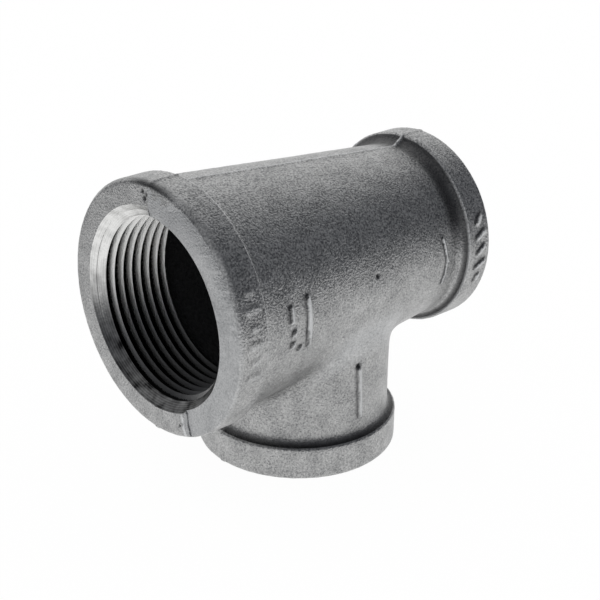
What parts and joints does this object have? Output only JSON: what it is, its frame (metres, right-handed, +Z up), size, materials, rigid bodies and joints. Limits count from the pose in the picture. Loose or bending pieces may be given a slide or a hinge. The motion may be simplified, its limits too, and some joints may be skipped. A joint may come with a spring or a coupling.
{
  "type": "reducing pipe tee",
  "caption": "Cast iron reducing pipe tee: a tapered run between a large and a small threaded mouth, with a threaded branch square to it and a band round each mouth.",
  "frame": {"origin": "centre of the branch's end face, which the tee stands on", "axes": "+Z up the branch's axis to the run, +X along the run to its smaller mouth, +Y across the parting plane of the casting"},
  "size_m": [0.0782, 0.0546, 0.07],
  "materials": {
    "cast_skin": "as-cast black oxide skin, fine sand grain, semi-matt",
    "tapped_iron": "machined thread and countersink, oiled"
  },
  "bodies": {
    "root": {"tee_body": "cast_skin"}
  },
  "joints": []
}
